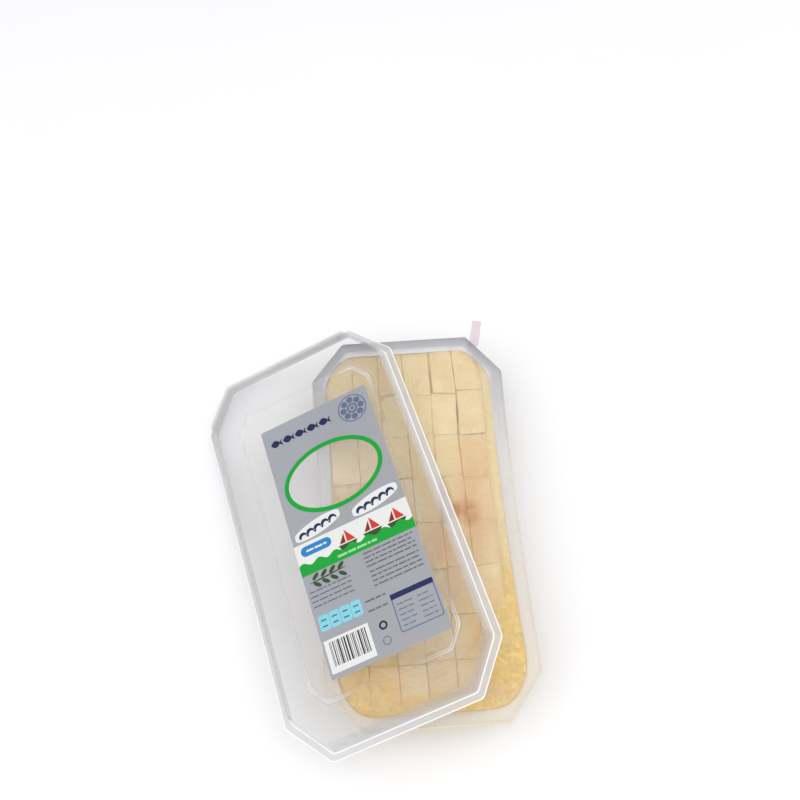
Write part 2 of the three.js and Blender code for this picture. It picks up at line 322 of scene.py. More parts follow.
# ---------- mesh helpers ----------
SIDE_STEPS = 16
END_STEPS = 6
BEND_STEPS = 4
CUT_STEPS = 3
CORNER_SOFTNESS = 2.2
SPARK_REACH = 14.0                # how far a corner's painted highlight runs along its sides
CUT_SHARE = 2 - math.sqrt(2)      # keeps a margin even across a 45-degree corner cut


class Ring(NamedTuple):
    """One eight-sided level of a lofted piece."""
    half_x: float
    half_y: float
    cut_x: float
    cut_y: float
    z: float = 0.0
    rounded: float = 0.0          # 0 for straight corner cuts, 1 for elliptical ones
    bow: float = 0.0              # how far the long sides are drawn in
    mid_x: float = 0.0
    mid_y: float = 0.0
    edge: float = 0.0             # painted highlight: how brightly the turn at this level catches the light
    spark: float = 0.0            # painted highlight: how much more it does so at its corners
    milk: float = 0.0             # painted warm light from the fish on the faces on both sides of this level
    warmth: float = 0.0           # how much of the colour of the fish shows in them

    def grow(self, margin):
        return self._replace(
            half_x=self.half_x + margin,
            half_y=self.half_y + margin,
            cut_x=self.cut_x + margin * CUT_SHARE,
            cut_y=self.cut_y + margin * CUT_SHARE,
        )

    def at(self, z, edge=0.0, spark=0.0, milk=0.0, warmth=0.0):
        return self._replace(z=z, edge=edge, spark=spark, milk=milk, warmth=warmth)

    def toward(self, other, share):
        return Ring(*(a + (b - a) * share for a, b in zip(self, other)))


def bend(a, b, c, steps):
    """Points of a smooth curve from a to c that b pulls on."""
    share = np.linspace(0, 1, steps + 1)[:, None]
    a, b, c = np.array(a), np.array(b), np.array(c)
    return a * (1 - share) ** 2 + 2 * b * share * (1 - share) + c * share ** 2


def corner_points(ring):
    """The corner where x and y are positive, walked from the long side to the end."""
    x0, y0 = ring.half_x - ring.cut_x, ring.half_y - ring.cut_y
    side, end = np.array((ring.half_x, y0)), np.array((x0, ring.half_y))
    along = (end - side) / np.linalg.norm(end - side) * CORNER_SOFTNESS
    first = bend(side - (0, CORNER_SOFTNESS), side, side + along, BEND_STEPS)
    last = bend(end - along, end, end - (CORNER_SOFTNESS, 0), BEND_STEPS)
    share = np.linspace(0, 1, CUT_STEPS + 2)[1:-1, None]
    cut = first[-1] * (1 - share) + last[0] * share
    straight = np.vstack((first, cut, last))
    turn = np.linspace(0, math.pi / 2, len(straight))
    arc = np.column_stack((x0 + ring.cut_x * np.cos(turn), y0 + ring.cut_y * np.sin(turn)))
    return straight * (1 - ring.rounded) + arc * ring.rounded


def ring_points(ring):
    """All points of a level, counter-clockwise seen from above."""
    corner = corner_points(ring)
    sides = np.linspace(-1, 1, SIDE_STEPS + 1)[1:-1] * corner[0][1]
    ends = np.linspace(1, -1, END_STEPS + 1)[1:-1] * corner[-1][0]
    right = np.column_stack((np.full(len(sides), ring.half_x), sides))
    far = np.column_stack((ends, np.full(len(ends), ring.half_y)))
    half = np.vstack((right, corner, far, (corner * (-1, 1))[::-1]))
    points = np.vstack((half, -half))
    straight = max(ring.half_y - ring.cut_y, 1)
    drawn = ring.bow * np.clip(1 - (points[:, 1] / straight) ** 2, 0, None)
    on_side = np.abs(points[:, 0]) / ring.half_x
    points[:, 0] -= np.sign(points[:, 0]) * drawn * on_side
    points += (ring.mid_x, ring.mid_y)
    return np.column_stack((points, np.full(len(points), ring.z)))


def soften(profile, radius, steps=3):
    """Replaces each sharp turn of a profile, a list of rings, by a small bend."""
    def reach(a, b):
        return math.hypot(a.half_x - b.half_x, a.z - b.z)
    out = [profile[0]]
    for before, here, after in zip(profile, profile[1:], profile[2:]):
        back = here.toward(before, min(radius / max(reach(here, before), radius), 0.45))
        on = here.toward(after, min(radius / max(reach(here, after), radius), 0.45))
        for i in range(steps + 1):
            share = i / steps
            made = back.toward(here, share).toward(here.toward(on, share), share)
            bulge = 1 - abs(2 * share - 1)
            out.append(made._replace(edge=here.edge * bulge, spark=here.spark * bulge))
    return out + [profile[-1]]


def discs(ring, count, height, inward=True):
    """Levels that run from a ring to its middle, or back, at a height given for each point."""
    shares = np.linspace(1, 0.02, count)
    out = []
    for share in shares if inward else shares[::-1]:
        points = ring_points(ring)
        points[:, :2] *= share
        points[:, 2] = [height(x, y) for x, y in points[:, :2]]
        out.append(points)
    return out


def dress(piece, material):
    """Gives a piece of the frame that keeps its CAD form its material."""
    piece.data.materials.clear()
    piece.data.materials.append(material)


def finish_mesh(name, vertices, faces, material, attributes=(), place=None):
    """Makes an object of a mesh given in millimetres, lets it ride on the pack and smooths it."""
    mesh = bpy.data.meshes.new(name)
    mesh.from_pydata([tuple(v) for v in vertices], [], faces)
    for label, values in dict(attributes).items():
        kind = "FLOAT" if np.ndim(values) == 1 else "FLOAT_VECTOR"
        layer = mesh.attributes.new(label, kind, "POINT")
        field = "value" if kind == "FLOAT" else "vector"
        layer.data.foreach_set(field, np.asarray(values, np.float32).ravel())
    if place is not None:
        mesh.transform(place)
    mesh.transform(Matrix.Scale(MM, 4))
    mesh.polygons.foreach_set("use_smooth", [True] * len(mesh.polygons))
    mesh.materials.append(material)
    made = bpy.data.objects.new(name, mesh)
    bpy.context.collection.objects.link(made)
    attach(made, "root")
    return made


def tube_faces(levels, count):
    """The faces of a closed piece through levels of points, capped at the first and the last one."""
    faces = []
    for start in range(0, (levels - 1) * count, count):
        for i in range(count):
            a, b = start + i, start + (i + 1) % count
            faces.append((a, b, b + count, a + count))
    faces.append(tuple(range(count))[::-1])
    faces.append(tuple(range((levels - 1) * count, levels * count)))
    return faces


def light_marks(ring, points):
    """How milky each point of a level is and how much painted highlight it gathers: more so at the
    corners, if it has a spark.
    """
    x0, y0 = ring.half_x - ring.cut_x, ring.half_y - ring.cut_y
    away = np.abs(points[:, :2] - (ring.mid_x, ring.mid_y))
    nearest = [np.hypot(*(away - corner).T) for corner in ((ring.half_x, y0), (x0, ring.half_y))]
    at_corner = np.exp(-(np.minimum(*nearest) / SPARK_REACH) ** 2)
    return np.clip(ring.milk + ring.edge + ring.spark * at_corner, 0, 1)


def loft_rings(name, rings, material, place=None, far_shade=0.0):
    """A piece through its levels, whose milkiness, painted highlights and painted warm light may fade
    toward the far end, as painted shade there.
    """
    levels = [ring_points(ring) for ring in rings]
    marks = [light_marks(ring, level) for ring, level in zip(rings, levels)]
    faces = tube_faces(len(levels), len(levels[0]))
    warmth = np.repeat([ring.warmth for ring in rings], len(levels[0]))
    points = np.vstack(levels)
    # painted shade: toward the far end the plastic loses its milky white and its painted light
    near = 1 - far_shade * np.clip(0.5 + points[:, 1] / (2 * RIM.half_y), 0, 1)
    attributes = {"light": np.concatenate(marks) * near, "warmth": warmth * near}
    return finish_mesh(name, points, faces, material, attributes, place)


# ---------- tray and film ----------
RIM = Ring(*RIM_HALF, cut_x=23, cut_y=30, bow=2.2)
CAVITY_CUT = (23, 31)             # how much of its side and of its end a rounded corner takes
TRAY_BEND = 1.2                   # radius of the small bends at the tray's turns
FILM_INSET = 0.8
FILM_SLACK, FILM_RIPPLE, FILM_SINK = 0.5, 0.2, 0.25
SHADE_START, SHADE_REACH = 20, 100  # painted shade on the film over the flange grows from here, over this length, to the far end


def cavity(z):
    """The inner face of the tray's wall at a height."""
    inset = FLANGE_WIDTH + WALL_DRAFT * (1 - z / RIM_HEIGHT)
    return Ring(RIM.half_x - inset, RIM.half_y - inset, *CAVITY_CUT, z, 1, RIM.bow)


def add_tray(material):
    """The tray's wall, floor, flange and lip in one loft: the milky rim, with painted highlights and
    painted warm light from the fish, turns clear down the wall.
    """
    oil_line, clear_line = RIM_HEIGHT - 4, RIM_HEIGHT - 7
    under = RIM_HEIGHT - TRAY_WALL
    foot = RIM_HEIGHT - FLANGE_LIP
    outer = cavity(under).grow(TRAY_WALL)
    base = cavity(0).grow(TRAY_WALL)
    inner = cavity(RIM_HEIGHT)
    # each level's second value is a painted highlight along its turn, and its warm tint is painted
    # warm light from the fish
    profile = [
        base.grow(-FLOOR_RING).at(0),
        base.at(0, 0.2, warmth=0.3),
        outer.at(under, 0.1, milk=0.05, warmth=0.2),
        RIM.grow(-TRAY_WALL).at(under, milk=0.1),
        RIM.grow(-TRAY_WALL).at(foot, 0.4, milk=0.2),
        RIM.at(foot, 0.6, milk=0.45, warmth=1.0),
        RIM.at(RIM_HEIGHT, 0.5, milk=0.4, warmth=0.6),
        inner.grow(FLANGE_WIDTH / 3).at(RIM_HEIGHT, milk=0.4, warmth=0.6),
        inner.at(RIM_HEIGHT, 0.2, milk=0.45, warmth=1.0),
        cavity(oil_line).at(oil_line, milk=0.05, warmth=0.6),
        cavity(clear_line).at(clear_line, warmth=0.2),
        cavity(TRAY_WALL).at(TRAY_WALL, warmth=0.2),
        cavity(TRAY_WALL).grow(-FLOOR_RING).at(TRAY_WALL),
    ]
    # painted shade: the tray's far end is greyer
    tray = loft_rings("tray_shell", soften(profile, TRAY_BEND), material, far_shade=0.85)
    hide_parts("tray")


def far_flange_shade(points, ring):
    """How much painted shade, a grey haze, the film gets where it lies on the flange: none at the near
    end, most at the far end.
    """
    in_x, in_y = ring.half_x - np.abs(points[:, 0]), ring.half_y - np.abs(points[:, 1])
    in_corner = (in_x / ring.cut_x + in_y / ring.cut_y - 1) * ring.cut_x
    margin = np.minimum.reduce([in_x, in_y, in_corner])
    far = np.clip((points[:, 1] - SHADE_START) / SHADE_REACH, 0, 1)
    return np.clip((FLANGE_WIDTH + 1 - margin) / 2, 0, 1) * far


def add_film(material):
    """The sealing film, drawn tight over the flange and slightly uneven over the fish."""
    ring = RIM.grow(-FILM_INSET)
    base = RIM_HEIGHT + TOUCH_GAP

    def height(x, y):
        inside = max(0.0, 1 - (x / 60) ** 4) * max(0.0, 1 - (y / 128) ** 4)
        slack = noise.noise(Vector((x * 0.03, y * 0.02, 5))) * FILM_SLACK
        ripple = noise.noise(Vector((x * 0.12, y * 0.05, 1))) * FILM_RIPPLE
        return base + inside * (slack + ripple - FILM_SINK)

    under = discs(ring, 26, height, inward=False)
    over = [level + (0, 0, FILM_THICKNESS) for level in discs(ring, 26, height)]
    levels = under + over
    faces = tube_faces(len(levels), len(levels[0]))
    points = np.vstack(levels)
    # painted shade: the film turns grey over the far part of the flange
    haze = {"light": far_flange_shade(points, ring)}
    film = finish_mesh("film_sheet", points, faces, material, haze)
    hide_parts("sealing_film")


# ---------- cod cubes ----------
# where golden oil gathers, where the fish is browner and where it is stained by the smoke: the
# middle and the half width and length of each patch
GOLD_PATCHES = [(46, -90, 26, 36), (0, -122, 56, 8), (-38, -112, 22, 24), (56, -70, 8, 40)]
TAN_PATCHES = [(37, -5, 12, 54), (18, -36, 18, 46)]
STAIN_PATCHES = [(18, 8, 5, 20), (34, 1, 7, 10), (23, 3, 9, 7)]
OPEN_GAPS = [(16, 110, 5, 20), (34, 74, 5, 15), (30, -80, 5, 9), (-15, -90, 6, 6), (-10, 40, 5, 26)]


def nearness(points, patches):
    """How deep each point lies in the nearest of some oval patches, from 0 to 1."""
    best = np.zeros(len(points))
    for x, y, half_x, half_y in patches:
        away = np.hypot((points[:, 0] - x) / half_x, (points[:, 1] - y) / half_y)
        best = np.maximum(best, np.clip((1.3 - away) / 0.8, 0, 1))
    return best


BLOCK_SWELL = (0.2, 0.42)         # how far the soft blocks press closer than the CAD ones
OUTLINE_STEPS = 5                 # curve steps between two outline points
SIDE_LEVELS = 9
TOP_LEVELS = 12
BLOCK_FOOT = 1.6                  # height of a block's underside
BLOCK_FILLET = 3.5
BLOCK_EDGE = 0.7                  # rounding of its upper edge
EDGE_LEVELS = 5
BLOCK_RING = 4.0                  # the flat underside starts this far in
CORNER_SPAN, CORNER_FILL = 5.0, 0.7   # the sides of a corner cut are shorter, and bulge this far
CAD_EDGE_DROP = 1.95              # the CAD block's upper outline lies this far under its upper face


def block_outlines(mesh):
    """The CAD block's lower outline and, at the far ends of the edges that rise from it, its upper
    one, point for point round the block."""
    net = np.array([v.co for v in mesh.vertices]) / MM
    edges = net[[tuple(e.vertices) for e in mesh.edges]]
    rising = np.array([pair[pair[:, 2].argsort()] for pair in edges])
    from_low = np.abs(rising[:, 0, 2] - BLOCK_FOOT - BLOCK_FILLET) < 0.01
    wall = rising[from_low & (rising[:, 1, 2] > rising[:, 0, 2] + 1)]
    outlines = []
    for side in (0, 1):
        ring = np.unique(wall[:, side].round(3), axis=0)
        away = ring - ring.mean(0)
        outlines.append(ring[np.argsort(np.arctan2(away[:, 1], away[:, 0]))])
    low, high = outlines
    turns = [np.roll(high, shift, 0) for shift in range(len(high))]
    return low, min(turns, key=lambda turned: np.abs(turned - low).sum())


def rounded_curve(points):
    """A smooth closed curve through points, which bulges at the short sides, the corner cuts."""
    before, after, later = (np.roll(points, shift, 0) for shift in (1, -1, -2))
    side = after - points
    length = np.hypot(side[:, 0], side[:, 1])
    outward = np.column_stack((side[:, 1], -side[:, 0], 0 * length)) / length[:, None]
    outward[length > CORNER_SPAN] = 0
    out = []
    for t in np.arange(0, 1, 1 / OUTLINE_STEPS):
        out.append(
            points
            + 0.5 * t * (after - before)
            + t * t * (before - 2.5 * points + 2 * after - 0.5 * later)
            + t ** 3 * (1.5 * (points - after) + 0.5 * (later - before))
            + outward * CORNER_FILL * 4 * t * (1 - t)
        )
    return np.stack(out, 1).reshape(-1, 3)


def inset(outline, centre, margin):
    """The outline drawn in by a margin toward the block's middle."""
    reach = np.abs(outline[:, :2] - centre[:2]).max(0)
    moved = outline.copy()
    moved[:, :2] = centre[:2] + (outline[:, :2] - centre[:2]) * (1 - margin / reach)
    return moved


def add_cube(node, material, rng):
    """One block of cod: the CAD block's outlines, with a softer edge and flaky, uneven faces."""
    low, high = (rounded_curve(o) for o in block_outlines(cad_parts[node].data))
    centre = (low.mean(0) + high.mean(0)) / 2
    swell = rng.uniform(*BLOCK_SWELL)
    low, high = (inset(outline, centre, -swell) for outline in (low, high))
    crown = high + (0, 0, CAD_EDGE_DROP)
    foot = inset(low, centre, BLOCK_FILLET) - (0, 0, BLOCK_FILLET)
    levels = [inset(foot, centre, BLOCK_RING), foot, low]
    levels += [low + (high - low) * share for share in np.linspace(0, 1, SIDE_LEVELS)[1:]]
    for turn in np.linspace(0.15, 1, EDGE_LEVELS) * math.pi / 2:
        rounded = inset(crown, centre, BLOCK_EDGE * (1 - math.cos(turn)))
        levels.append(rounded - (0, 0, BLOCK_EDGE * (1 - math.sin(turn))))
    brow, middle = levels[-1], crown.mean(0)
    for share in np.linspace(0, 1, TOP_LEVELS)[1:] ** 0.8 * 0.97:
        levels.append(brow * (1 - share) + middle * share)
    points = np.vstack(levels)
    count = len(low)

    turn = Matrix.Rotation(rng.uniform(-0.5, 0.5) + rng.choice((0, math.pi / 2)), 3, "Z")
    shift = np.array([rng.uniform(0, 400) for _ in range(3)])
    grain = (points - centre) @ np.array(turn).T + shift
    relief = np.array([
        0.4 * noise.noise(Vector(p) * 0.09) + 0.22 * noise.noise(Vector(p) * 0.33)
        for p in grain
    ])
    outward = (points - centre) / np.abs(points - centre).max(0)
    outward[:, :2] *= (points[:, 2] < middle[2] - 0.5)[:, None]     # the upper face moves upright only
    points = points + outward * relief[:, None]
    attributes = {
        "grain": grain * MM,
        "tone": np.clip(rng.uniform(0, 0.5) + nearness(points, TAN_PATCHES) * 0.8, 0, 1),
        "gold": nearness(points, GOLD_PATCHES) * 0.8,
        "stain": nearness(points, STAIN_PATCHES),
    }
    name = node.replace("cod_cube", "cod_block")
    cube = finish_mesh(name, points, tube_faces(len(levels), count), material, attributes)
    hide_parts(node)


def add_cubes(material):
    """All blocks, in one order, so that the random draws stay the same."""
    rng = random.Random(7)
    for column in range(COLUMNS):
        for row in range(ROWS):
            add_cube(f"cod_cube_c{column + 1}_r{row + 1}", material, rng)


# ---------- oil and froth ----------
OIL_LEVEL = 34.4
WALL_BITE = 0.3                   # the oil reaches this far into the tray's wall
CHANNEL_X, CHANNEL_Y = 50, -119   # past these the oil stands open between the fish and the wall
WALL_DEPTH, GAP_DEPTH, OPEN_GAP_DEPTH, CHANNEL_DEPTH = 0.22, 0.9, 0.4, 0.95
OIL_POOLS = [(52, -92, 26, 26), (30, -126, 16, 16), (-10, -130, 12, 12)]


def oil_height(x, y):
    """The oil's surface, with pools over the fish near the right and the near wall."""
    pool = nearness(np.array([[x, y]]), OIL_POOLS)[0]
    ripple = noise.noise(Vector((x * 0.15, y * 0.15, 3))) * 0.3
    return OIL_LEVEL + pool * 1.5 + ripple


def add_oil(material):
    """The oil fills the tray round the cubes and reaches just into its wall. It hides what is in it
    by its depth: a thin skin along the walls, more in the gaps, most in the channel at the right."""
    foot = cavity(TRAY_WALL)
    rings = [
        foot.grow(WALL_BITE - FLOOR_FILLET).at(TRAY_WALL - WALL_BITE),
        foot.grow(WALL_BITE).at(TRAY_WALL + 2),
    ]
    rings += [cavity(z).grow(WALL_BITE) for z in (12, 24, 33)]
    points = [ring_points(ring) for ring in rings]
    surface = discs(cavity(OIL_LEVEL).grow(WALL_BITE), 60, oil_height)
    depth = [np.full(len(level), WALL_DEPTH) for level in points]
    clear = [np.zeros(len(level)) for level in points]
    for level in surface:
        channel = np.clip((level[:, 0] - CHANNEL_X) / 4, 0, 1)
        near = np.clip((CHANNEL_Y - level[:, 1]) / 4, 0, 1)
        pool = np.clip(nearness(level, OIL_POOLS) * 1.3, 0, 1)
        clear.append(np.maximum.reduce([channel, near, pool * 0.8]))
        gap = GAP_DEPTH + (OPEN_GAP_DEPTH - GAP_DEPTH) * nearness(level, OPEN_GAPS)
        depth.append(gap + (CHANNEL_DEPTH - gap) * clear[-1])
    levels = points + surface
    faces = tube_faces(len(levels), len(levels[0]))
    points = np.vstack(levels)
    attributes = {
        "depth": np.concatenate(depth),
        "open": np.concatenate(clear),
        "gold": nearness(points, GOLD_PATCHES),
        "stain": nearness(points, STAIN_PATCHES),
    }
    oil = finish_mesh("oil", points, faces, material, attributes)


# the oil skin lies over the fish and just under the film, and shows most in these patches
SKIN_LEVEL = 37.0
SKIN_PATCHES = [(50, -92, 20, 40), (10, -124, 50, 8), (-40, -116, 18, 12), (58, 0, 9, 120)]


def add_oil_skin(material):
    """A thin open sheet of oil over the whole cavity, whose cover attribute says how much shows."""
    ring = cavity(SKIN_LEVEL).grow(-0.2)
    levels = discs(ring, 50, lambda x, y: SKIN_LEVEL + 0.2 * noise.noise(Vector((x, y, 9)) * 0.06))
    points = np.vstack(levels)
    count = len(levels[0])
    faces = tube_faces(len(levels), count)[: (len(levels) - 1) * count]
    attributes = {
        "cover": nearness(points, SKIN_PATCHES) * 0.7,
        "gold": nearness(points, GOLD_PATCHES),
    }
    skin = finish_mesh("oil_skin", points, faces, material, attributes)


def unit_ball():
    """The points and the triangles of a round ball of radius 1."""
    bm = bmesh.new()
    bmesh.ops.create_icosphere(bm, subdivisions=2, radius=1)
    points = np.array([v.co for v in bm.verts])
    faces = np.array([[v.index for v in f.verts] for f in bm.faces])
    bm.free()
    return points, faces


# clusters of bubbles: the middle, how far they scatter each way, and how many there are
FROTH = [
    (48, -82, 4, 6, 26), (50, -104, 4, 8, 30), (30, -121, 9, 2.5, 44), (-8, -122.5, 18, 1.5, 40),
    (-42, -117, 6, 4, 30), (54, -40, 1.5, 26, 16),
]


def add_froth(material):
    """Small flat bubbles under the film, along the right wall and the near wall."""
    rng = random.Random(11)
    ball, ball_faces = unit_ball()
    wall = cavity(OIL_LEVEL)
    vertices, faces = [], []
    for mid_x, mid_y, scatter_x, scatter_y, count in FROTH:
        for _ in range(count):
            x, y = rng.gauss(mid_x, scatter_x), rng.gauss(mid_y, scatter_y)
            past_x = (abs(x) - wall.half_x + wall.cut_x) / wall.cut_x
            past_y = (abs(y) - wall.half_y + wall.cut_y) / wall.cut_y
            if math.hypot(max(0, past_x), max(0, past_y)) > 0.93:
                continue
            radius = rng.uniform(0.45, 0.95) ** 2
            faces.append(ball_faces + len(vertices) * len(ball))
            vertices.append(ball * (radius, radius, radius * 0.5) + (x, y, SKIN_LEVEL + 0.1))
    faces = np.vstack(faces).tolist()
    froth = finish_mesh("oil_bubbles", np.vstack(vertices), faces, material)


# ---------- lid ----------
LID_RIM = Ring(half_x=74, half_y=141, cut_x=24, cut_y=30)
RIDGE = Ring(half_x=51.5, half_y=107, cut_x=10, cut_y=13, mid_x=4, mid_y=-5)
PANEL_RING = 4.0                  # the flat panel starts this far in from the ridge
SHOULDER_RING = 1.0
LID_BEND = 0.9                    # radius of the small bends at the lid's turns


def add_lid(material):
    """The lid's panel, ridge, skirt and flange in one loft, first its inside and then its outside."""
    top = LID_DEPTH + LID_WALL
    foot = LID_RIM.grow(-LID_FLANGE)
    shoulder = foot.grow(-LID_DRAFT)
    inner = RIDGE.grow(-RIDGE_WIDTH)
    crest = LID_DEPTH + RIDGE_HEIGHT
    # each level's second value is a painted highlight along its turn, the third a painted highlight at
    # its corners
    profile = [
        inner.grow(-PANEL_RING).at(LID_DEPTH),
        inner.at(LID_DEPTH),
        inner.grow(RIDGE_SLOPE).at(crest),
        RIDGE.grow(-RIDGE_SLOPE).at(crest),
        RIDGE.at(LID_DEPTH),
        shoulder.grow(-LID_WALL - SHOULDER_RING).at(LID_DEPTH),
        shoulder.grow(-LID_WALL).at(LID_DEPTH, milk=0.05),
        foot.grow(-LID_WALL).at(0, 0.2, milk=0.2),
        LID_RIM.at(0, 0.6, milk=0.4),
        LID_RIM.at(LID_WALL, 0.7, milk=0.5),
        foot.at(LID_WALL, 0.7, milk=0.5),
        shoulder.at(top, 0.1, 0.3, milk=0.05),
        shoulder.grow(-SHOULDER_RING).at(top),
        RIDGE.grow(RIDGE_SKIN).at(top, 0, 0.2),
        RIDGE.grow(RIDGE_SKIN - RIDGE_SLOPE).at(crest + LID_WALL, 0.25, 0.75),
        inner.grow(RIDGE_SLOPE - RIDGE_SKIN).at(crest + LID_WALL, 0.25, 0.75),
        inner.grow(-RIDGE_SKIN).at(top),
        inner.grow(-PANEL_RING).at(top),
    ]
    lid = loft_rings("lid_shell", soften(profile, LID_BEND), material, LID_PLACE)
    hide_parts("lid")


# ---------- label ----------
PRINT_STEP = 0.03                 # each printed layer lies this far above the last one


def to_label(u, v):
    """A place on the label, from its far left corner, in the lid's own frame."""
    return LABEL_CENTRE[0] - LABEL_HALF[0] + u, LABEL_CENTRE[1] + LABEL_HALF[1] - v


def rectangle(left, top, right, bottom, soft=0.0, steps=5):
    """An upright rectangle, whose corners may be rounded."""
    if not soft:
        return [(left, top), (right, top), (right, bottom), (left, bottom)]
    out = []
    for cx, cy, start in (
        (right - soft, top + soft, -90), (right - soft, bottom - soft, 0),
        (left + soft, bottom - soft, 90), (left + soft, top + soft, 180),
    ):
        for i in range(steps + 1):
            turn = math.radians(start + 90 * i / steps)
            out.append((cx + soft * math.cos(turn), cy + soft * math.sin(turn)))
    return out


def oval(u, v, half_u, half_v, tilt=0.0, steps=72, start=0.0, end=360.0):
    """An oval, or the part of it between two angles."""
    lean = math.radians(tilt)
    out = []
    for i in range(steps + (end - start < 360)):
        turn = math.radians(start + (end - start) * i / steps)
        a, b = half_u * math.cos(turn), half_v * math.sin(turn)
        out.append((u + a * math.cos(lean) - b * math.sin(lean),
                    v + a * math.sin(lean) + b * math.cos(lean)))
    return out


def pen_stroke(line, height):
    """A stroke along a line of points, as a pen held upright draws it, thinner at both ends."""
    line = np.array(line)
    share = np.linspace(0, math.pi, len(line))
    half = np.column_stack((np.zeros(len(line)), height / 2 * (0.3 + 0.7 * np.sin(share) ** 0.5)))
    return [tuple(p) for p in np.vstack((line + half, (line - half)[::-1]))]


def printed(name, loops, layer, material):
    """Flat printed shapes: a loop that lies in another one is a hole in it."""
    curve = bpy.data.curves.new(name, "CURVE")
    curve.dimensions = "2D"
    curve.fill_mode = "BOTH"
    curve.extrude = PRINT_STEP / 4
    for loop in loops:
        spline = curve.splines.new("POLY")
        spline.points.add(len(loop) - 1)
        for point, (u, v) in zip(spline.points, loop):
            point.co = (*to_label(u, v), 0, 1)
        spline.use_cyclic_u = True
    work = bpy.data.objects.new(name, curve)
    mesh = work.to_mesh()
    vertices = np.array([v.co for v in mesh.vertices]) + (0, 0, LABEL_TOP + PRINT_STEP * (layer + 0.5))
    faces = [tuple(p.vertices) for p in mesh.polygons]
    work.to_mesh_clear()
    bpy.data.objects.remove(work)
    piece = finish_mesh(name, vertices, faces, material, place=LID_PLACE)
    piece.data.polygons.foreach_set("use_smooth", [False] * len(piece.data.polygons))
    piece.visible_shadow = False
    return piece


def words(left, right, top, bottom, lines, height, rng):
    """Rows of short plain dashes, as small print looks from afar."""
    out = []
    for line in range(lines):
        v = top + (bottom - top) * line / max(lines - 1, 1)
        u = left
        while u < right - 1.5:
            end = min(u + rng.uniform(2, 7), right)
            out.append(rectangle(u, v, end, v + height))
            u = end + 0.8
    return out


def sea(left, right, level, foot, swells):
    """A field from a level down to its foot, with a row of low swells along its top."""
    across = np.linspace(left, right, swells * 12 + 1)
    turns = np.linspace(0, swells * 2 * math.pi, swells * 12 + 1)
    shore = [(u, level - 1.3 * math.sin(turn)) for u, turn in zip(across, turns)]
    return shore + [(right, foot), (left, foot)]


def boat(u, v):
    """A small plain boat: its main sail, its fore sail and its hull."""
    main = [(u, v - 9.5), (u + 6, v - 0.8), (u, v - 0.8)]
    fore = [(u - 1, v - 7.5), (u - 1, v - 0.8), (u - 5.2, v - 0.8)]
    hull = [(u - 6.5, v), (u + 7, v), (u + 4.5, v + 4), (u - 4.5, v + 4)]
    return main, fore, hull


def fish_shape(u, v, length):
    """A small plain fish that heads left: its body and its tail."""
    half = length / 2
    body = [
        (u - half + length * 0.78 * t, v + side * length * 0.3 * math.sin(math.pi * t) ** 0.8)
        for side, shares in ((-1, np.linspace(0, 1, 12)), (1, np.linspace(1, 0, 12)[1:-1]))
        for t in shares
    ]
    root = u - half + length * 0.72
    tail = [(root, v), (u + half, v - length * 0.3), (u + half * 0.8, v), (u + half, v + length * 0.3)]
    return [body, tail]


def wave_row(left, right, v, count):
    """A row of plain wave crests, each a crescent."""
    wide = (right - left) / count
    crests = []
    for i in range(count):
        u, lift = left + (i + 0.5) * wide, -i * 0.9
        outer = oval(u, v + lift, wide * 0.56, 3.4, steps=18, start=180, end=350)
        inner = oval(u + wide * 0.1, v + lift + 1.5, wide * 0.4, 2.9, steps=18, start=180, end=350)
        crests.append(outer + inner[::-1])
    return crests


INK_COLOURS = {
    "grey": (164, 167, 173),
    "white": (228, 229, 226),
    "green": (10, 158, 52),
    "pale_green": (150, 214, 150),
    "dark_green": (52, 74, 40),
    "navy": (28, 36, 84),
    "cyan": (130, 206, 222),
    "blue": (38, 128, 192),
    "red": (206, 56, 34),
    "dark_red": (140, 34, 24),
    "slate": (92, 92, 104),
    "pale_blue": (92, 108, 138),
    "black": (24, 24, 28),
}
INK_COVER = {"grey": 0.78, "white": 0.94}     # the other inks cover fully
LABEL_WIDTH, LABEL_LENGTH = LABEL_HALF[0] * 2, LABEL_HALF[1] * 2
LABEL_MARGIN = 0.3                # left bare round the print
WINDOW = dict(u=41, v=53, half_u=36, half_v=25)
WINDOW_BORDER = 3.2
PANE = dict(
    WINDOW, half_u=WINDOW["half_u"] - WINDOW_BORDER, half_v=WINDOW["half_v"] - WINDOW_BORDER
)
WAVE_ROWS = [(6, 34, 87, 5), (48, 76, 87, 5)]    # left, right, height and how many crests
WAVE_LIFT = 4.4                                  # how far a row's white ground rises to the right
BAND_TOP, BAND_FOOT = 91, 113                    # the pale picture band
SEA_LEVEL = 105.5
BOATS = [(36, 103.5), (54, 102.8), (71, 103.5)]
SPRIG_LEFT, SPRIG_MIDDLE = 4, 118.5
SHOAL_LEFT, EMBLEM = 9.5, (68, 13.2)             # the row of fish is level with the rosette
CELLS = 4


def print_ground(inks):
    """The grey ground, with a clear pane in it where the fish shows."""
    far_corner = (LABEL_WIDTH - LABEL_MARGIN, LABEL_LENGTH - LABEL_MARGIN)
    ground = rectangle(LABEL_MARGIN, LABEL_MARGIN, *far_corner, 1.2)
    printed("label_ground", [ground, oval(**PANE)], 0, inks["grey"])


